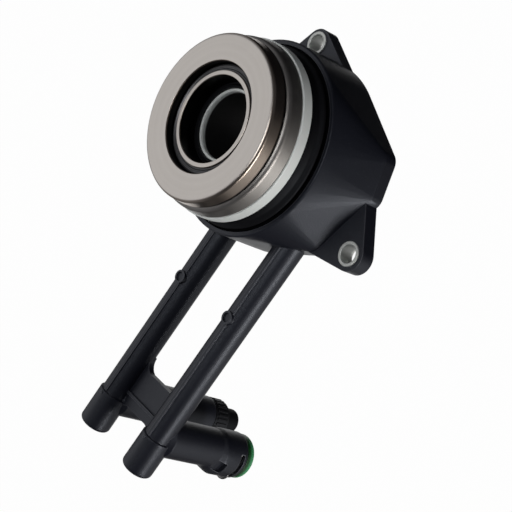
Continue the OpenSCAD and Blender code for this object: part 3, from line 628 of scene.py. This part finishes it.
def bearing():
    """Turned and pressed rings of the release bearing."""
    rise = np.degrees(np.arcsin((THRUST_LAND_Z - BALL_Z) / GROOVE_R))
    fixed("thrust_ring", turned("thrust_ring_turned", [
        (FACE_HOLE_R, THRUST_LAND_Z, 0.2), *groove(180 - rise, rise), (THRUST_LIP_R, THRUST_LAND_Z, 0.3),
        (THRUST_LIP_R, THRUST_BACK_Z, 0.15), (THRUST_BACK_R, THRUST_BACK_Z, 0.3),
        (THRUST_FRONT_R, FACE_Z, 1.3), (FACE_HOLE_R, FACE_Z, 0.35)]))
    fixed("race_ring", turned("race_ring_turned", [
        (RACE_BORE_R, COVER_FLOOR_Z, 0.3), (RACE_R, COVER_FLOOR_Z, 0.3), (RACE_R, RACE_LAND_Z, 0.2),
        *groove(-rise, rise - 180), (RACE_TUBE_R, RACE_LAND_Z, 0.3), (RACE_TUBE_R, RACE_TUBE_Z, 0.3),
        (RACE_BORE_R, RACE_TUBE_Z, 0.3)]))
    fixed("bearing_cover", turned("bearing_cover_pressed", [
        (RACE_BORE_R, COVER_BACK_Z, 0.2), (31.3, COVER_BACK_Z, 0.4), (30.6, COVER_FRONT_Z, 2.0),
        (COVER_LIP_R, COVER_FRONT_Z, 0.3), (COVER_LIP_R, COVER_CEILING_Z, 0.2),
        (29.6, COVER_CEILING_Z, 1.0), (30.3, COVER_FLOOR_Z, 0.4), (RACE_BORE_R, COVER_FLOOR_Z, 0.2)]))
    fixed("spring_seat", turned("spring_seat_pressed", [
        (SEAT_BORE_R, SEAT_UNDERSIDE_Z, 0.2), (SEAT_WALL_R, SEAT_UNDERSIDE_Z, 0.4),
        (SEAT_WALL_R, SEAT_LOW_Z, 0.2), (SEAT_R, SEAT_LOW_Z, 0.45), (SEAT_R, COVER_BACK_Z, 0.45),
        (SEAT_BORE_R, COVER_BACK_Z, 0.2)]))
    fixed("bearing_inner_seal", turned("bearing_inner_seal_moulded", [
        (RACE_TUBE_R, SEAL_BACK_Z, 0.1), (SEAL_R, SEAL_BACK_Z, 0.3), (SEAL_R, 41.9, 0.25),
        (18.4, SEAL_LIP_Z, 0.3), (17.8, 41.75, 0.25), (17.3, SEAL_LIP_Z, 0.2),
        (RACE_TUBE_R, SEAL_LIP_Z, 0.1)]))


def sleeve():
    """Guide sleeve with its flange and rolled front end."""
    fixed("guide_sleeve", turned("guide_sleeve_drawn", [
        (SLEEVE_BORE_R, FLANGE_LOW_Z, 0.3), (FLANGE_R, FLANGE_LOW_Z, 0.2), (FLANGE_R, FLANGE_HIGH_Z, 0.2),
        (SLEEVE_R, FLANGE_HIGH_Z, 0.3), (SLEEVE_R, 35.475, 0.08), (12.7375, SLEEVE_END_Z, 0.06),
        (12.05, SLEEVE_END_Z, 0.15), (SLEEVE_BORE_R, 35.0, 0.3)]))


def bushes():
    """Steel sleeves in the ears, with broken edges."""
    corners = [(BUSH_BORE_R, 0.0, 0.25), (BUSH_R, 0.0, 0.2), (BUSH_R, BUSH_TOP_Z, 0.2),
               (BUSH_BORE_R, BUSH_TOP_Z, 0.35)]
    fixed("upper_ear_bush", turned("upper_ear_bush_turned", corners, UPPER_BOLT, SMALL_SPOKES))
    fixed("lower_ear_bush", turned("lower_ear_bush_turned", corners, LOWER_BOLT, SMALL_SPOKES))


def boot_and_spring():
    """Rubber boot with even folds, and the coil spring under it.

    At share s of the folds' height the outside's radius is
    valley + (crest - valley) (1 - cos(2 pi folds s)) / 2.
    """
    share = np.linspace(0.0, 1.0, FOLD_STEPS)
    swing = (1 - np.cos(2 * BOOT_FOLDS * np.pi * share)) / 2
    fold = BOOT_VALLEY_R + (BOOT_CREST_R - BOOT_VALLEY_R) * swing
    height = BOOT_FOLDS_LOW_Z + (BOOT_FOLDS_HIGH_Z - BOOT_FOLDS_LOW_Z) * share
    outside = [(r, z, 0.0) for r, z in zip(fold, height)]
    inside = [(r - BOOT_WALL, z, 0.0) for r, z, _ in reversed(outside)]
    inner_neck_r = BOOT_NECK_R - BOOT_WALL
    boot = turned("dust_boot_moulded", [
        (30.9, BOOT_FOOT_Z, 0.1), (BOOT_FOOT_R, BOOT_FOOT_Z, 0.3), (BOOT_FOOT_R, BOOT_FOLDS_LOW_Z, 0.2),
        *outside, (BOOT_NECK_R, BOOT_NECK_Z, 0.3), (BOOT_NECK_R, BOOT_TOP_Z, 0.3),
        (inner_neck_r, BOOT_TOP_Z, 0.3), (inner_neck_r, BOOT_NECK_Z, 0.3), *inside])
    stretched("dust_boot", boot)
    spring = coil("preload_spring_wound", SPRING_COIL_R, SPRING_WIRE_R, SPRING_LOW_Z, BOOT_TOP_Z,
                  SPRING_TURNS)
    stretched("preload_spring", spring)


def port_pieces():
    """Green plug in the feed port and rubber cap on the bleed screw."""
    fixed("feed_port_plug", turned("feed_port_plug_moulded", [
        (0.0, PLUG_END_Z, 0.0), (PLUG_HEAD_R, PLUG_END_Z, 1.5), (PLUG_HEAD_R, PLUG_SEAT_Z, 0.2),
        (PLUG_R, PLUG_SEAT_Z, 0.1), (PLUG_R, PLUG_GROOVE_LOW_Z, 0.1),
        (PLUG_GROOVE_R, PLUG_GROOVE_LOW_Z, 0.1), (PLUG_GROOVE_R, PLUG_GROOVE_HIGH_Z, 0.1),
        (PLUG_R, PLUG_GROOVE_HIGH_Z, 0.1),
        (PLUG_R, PLUG_TIP_Z - PLUG_TIP_LEN, 0.4), (PLUG_TIP_R, PLUG_TIP_Z, 0.4), (0.0, PLUG_TIP_Z, 0.0)],
        FEED_PORT, SMALL_SPOKES))
    fixed("bleed_cap", turned("bleed_cap_moulded", [
        (0.0, CAP_END_Z, 0.0), (CAP_R, CAP_END_Z, 1.6), (CAP_R, CAP_MOUTH_Z, 0.3),
        (CAP_BORE_R, CAP_MOUTH_Z, 0.1), (CAP_BORE_R, CAP_FLOOR_Z, 0.2), (0.0, CAP_FLOOR_Z, 0.0)],
        BLEED_PORT, SMALL_SPOKES))


def moulding():
    """The housing in one smooth skin."""
    fixed("housing", smooth_copy("housing_moulded", "housing", HOUSING_CREASE))


# Studio

def seen_from_camera(right, up, back):
    """A direction given by its parts along the camera's axes."""
    return np.array([right, up, back]) @ np.array([CAMERA_RIGHT, CAMERA_UP, CAMERA_BACK])


def stand(made, axes, place):
    """Puts an object at a place, with its X, Y and Z along three axes."""
    turn = Matrix(np.column_stack(axes).tolist()).to_4x4()
    turn.translation = place
    made.matrix_world = turn


def room():
    """Dim room with a pale wall behind the part; the camera itself sees it white."""
    world = bpy.data.worlds.new("room")
    bpy.context.scene.world = world
    world.use_nodes = True
    board = Board(world.node_tree)
    direction = board.node("ShaderNodeTexCoord", output="Generated")
    wall = board.measure("DOT_PRODUCT", direction, WALL_SIDE).between(0.0, 0.9)
    colour = board.mix(wall, (0.05, 0.05, 0.055), (0.32, 0.32, 0.33))
    camera_ray = board.node("ShaderNodeLightPath")
    colour = board.mix(camera_ray * WHITE, colour, (1.0, 1.0, 1.0))
    board.set(board.tree.nodes["Background"].inputs["Color"], colour)


def floor():
    """Pale floor, white to the camera, and to mirrors on the stretch that lies behind the part."""
    f = Finish("floor_paper", Roughness=0.9, Base_Color=(0.6, 0.57, 0.54, 1.0))
    camera_ray = f.node("ShaderNodeLightPath")
    mirrored = camera_ray.other("Is Glossy Ray") + camera_ray.other("Is Transmission Ray")
    off = f.measure("DISTANCE", f.place(), SEEN_FLOOR)
    seen = 1.0 - off.between(SEEN_FLOOR_R, SEEN_FLOOR_END)
    share = (camera_ray + mirrored * seen) * WHITE
    paper = Wire(f, f.shader.outputs[0])
    white = f.node("ShaderNodeEmission", {}, {"Strength": 1.0})
    mixed = f.node("ShaderNodeMixShader", {}, {0: share, 1: paper, 2: white})
    f.set(f.tree.nodes["Material Output"].inputs["Surface"], mixed)
    piece = added("floor", square("floor", FLOOR_HALF, FLOOR_Z))
    piece.data.materials.append(f.material)


def aimed(name, data, direction, distance):
    """An object that stands off the part in a direction and faces it; the camera does not see it."""
    made = added(name, data)
    made.visible_camera = False
    back = unit(np.array(direction, float))
    side = unit(np.cross((0.0, 0.0, 1.0), back))
    stand(made, [side, np.cross(back, side), back], (np.array(PART_MIDDLE) + distance * back).tolist())
    return made


def lamp(name, direction, distance, size, glow, colour=(1.0, 1.0, 1.0)):
    """A soft lamp of a width and height; glow is its brightness as a mirror shows it."""
    data = bpy.data.lights.new(name, "AREA")
    data.shape = "RECTANGLE"
    data.size, data.size_y = size
    data.energy = glow * np.pi * size[0] * size[1]
    data.color = colour
    aimed(name, data, direction, distance)


def lamps():
    """A broad dim lamp at the picture's left, a bright strip at the part's right, one above, one below."""
    lamp("left", seen_from_camera(-0.94, 0.34, -0.02), 0.9, (0.9, 0.9), 0.39, WARM)
    lamp("side", (0.975, -0.165, -0.14), 0.58, (0.42, 0.13), 10.0, WARM)
    lamp("above", (0.25, 0.1, 0.96), 0.7, (0.3, 0.3), 4.5)
    lamp("below", (0.6, -0.34, -0.72), 0.4, (0.46, 0.46), 0.27)


def dark_card(name, direction, distance, half):
    """Black cloth that the bearing's walls and the flank mirror on their far side."""
    f = Finish(name + "_cloth", Roughness=0.95, Specular_IOR_Level=0.1)
    f.give(Base_Color=f.mix(f.noise(2), (0.008, 0.008, 0.01), (0.016, 0.016, 0.02)))
    mesh = square(name, half)
    mesh.materials.append(f.material)
    aimed(name, mesh, direction, distance)


def camera():
    """The photograph's camera."""
    data = bpy.data.cameras.new("camera")
    data.lens = CAMERA_LENS
    data.clip_start = CAMERA_NEAR
    made = added("camera", data)
    stand(made, [CAMERA_RIGHT, CAMERA_UP, CAMERA_BACK], CAMERA_PLACE)
    bpy.context.scene.camera = made


camera()
for name, slot in SLOTS.items():
    dress(frame["nodes"][name], slot)
moulding()
bearing()
sleeve()
bushes()
boot_and_spring()
port_pieces()
room()
floor()
lamps()
dark_card("low_card", (0.11, 0.51, -0.42), 0.6, 0.33)
dark_card("far_card", (-0.45, 0.85, -0.28), 0.7, 0.42)
bpy.context.scene.view_settings.view_transform = "Standard"
